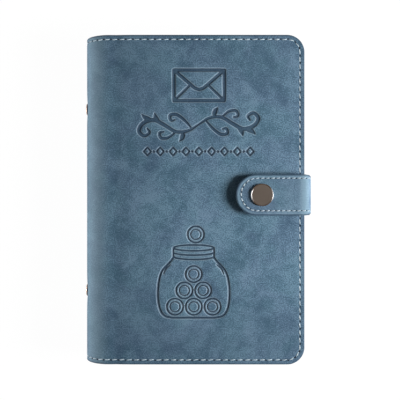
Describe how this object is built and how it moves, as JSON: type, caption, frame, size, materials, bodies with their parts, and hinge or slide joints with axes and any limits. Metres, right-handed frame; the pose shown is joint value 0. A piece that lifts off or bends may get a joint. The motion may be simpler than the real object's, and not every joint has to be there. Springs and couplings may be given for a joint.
{
  "type": "cash envelope wallet",
  "caption": "Personal-size ring binder wallet: soft cover with stitched edges and a snap strap, holding punched budget envelopes on a ring mechanism.",
  "frame": {"origin": "middle of the closed wallet's footprint, on the table under its back cover", "axes": "+X from the spine to the fore edge and the strap, +Y up the cover, +Z from the back cover to the front cover"},
  "size_m": [0.1316, 0.19, 0.0388],
  "materials": {
    "leather": "mottled blue-grey suede-like faux leather",
    "lining": "smooth dark blue-grey lining",
    "board": "grey-brown stiffener board",
    "steel": "nickel-plated steel",
    "dark_nickel": "dark nickel plate with a polished rim",
    "aged_brass": "darkened brass plate",
    "card": "matt kraft card"
  },
  "bodies": {
    "back_cover": {"leather_back_and_spine": "leather", "lining_back_and_spine": "lining", "stiffener_back": "board", "strap_root_leather": "leather", "strap_root_lining": "lining", "ring_plate": "steel", "spine_rivet_upper": "aged_brass", "spine_rivet_lower": "aged_brass", "rivet_spacer_upper": "steel", "rivet_spacer_lower": "steel", "envelope_01": "card", "envelope_02": "card", "envelope_03": "card", "envelope_04": "card", "envelope_05": "card", "envelope_06": "card", "envelope_07": "card", "envelope_08": "card", "envelope_09": "card", "envelope_10": "card", "envelope_11": "card", "envelope_12": "card"},
    "front_cover": {"leather_front": "leather", "lining_front": "lining", "stiffener_front": "board", "slip_pocket": "lining", "card_slot_1": "lining", "card_slot_2": "lining", "snap_stud": "steel", "snap_post": "aged_brass"},
    "rings_front": {"ring_rail_front": "steel", "half_ring_front_1": "steel", "half_ring_front_2": "steel", "half_ring_front_3": "steel", "half_ring_front_4": "steel", "half_ring_front_5": "steel", "half_ring_front_6": "steel"},
    "rings_back": {"ring_rail_back": "steel", "half_ring_back_1": "steel", "half_ring_back_2": "steel", "half_ring_back_3": "steel", "half_ring_back_4": "steel", "half_ring_back_5": "steel", "half_ring_back_6": "steel"},
    "strap_side": {"strap_side_leather": "leather", "strap_side_lining": "lining"},
    "strap_tab": {"strap_tab_leather": "leather", "strap_tab_lining": "lining", "snap_cap": "dark_nickel", "snap_socket": "steel"}
  },
  "joints": [
    {"name": "front_cover_fold", "type": "hinge", "parent": "back_cover", "child": "front_cover", "pos_m": [-0.06168, 0, 0.02711], "axis": [0, -1, 0], "range_deg": [0, 180]},
    {"name": "strap_lower_bend", "type": "hinge", "parent": "back_cover", "child": "strap_side", "pos_m": [0.06499, 0.0027, 0.00161], "axis": [0, 1, 0], "range_deg": [0, 86]},
    {"name": "strap_upper_bend", "type": "hinge", "parent": "strap_side", "child": "strap_tab", "pos_m": [0.06458, 0.0027, 0.03633], "axis": [0, 1, 0], "range_deg": [0, 86]},
    {"name": "rings_front_open", "type": "hinge", "parent": "back_cover", "child": "rings_front", "pos_m": [-0.06137, 0, 0.0224], "axis": [0, -1, 0], "range_deg": [0, 12]},
    {"name": "rings_back_open", "type": "hinge", "parent": "back_cover", "child": "rings_back", "pos_m": [-0.06137, 0, 0.0106], "axis": [0, 1, 0], "range_deg": [0, 12]}
  ],
  "couplings": [
    {"joint": "strap_upper_bend", "follows": "strap_lower_bend", "ratio": 1},
    {"joint": "rings_back_open", "follows": "rings_front_open", "ratio": 1}
  ]
}
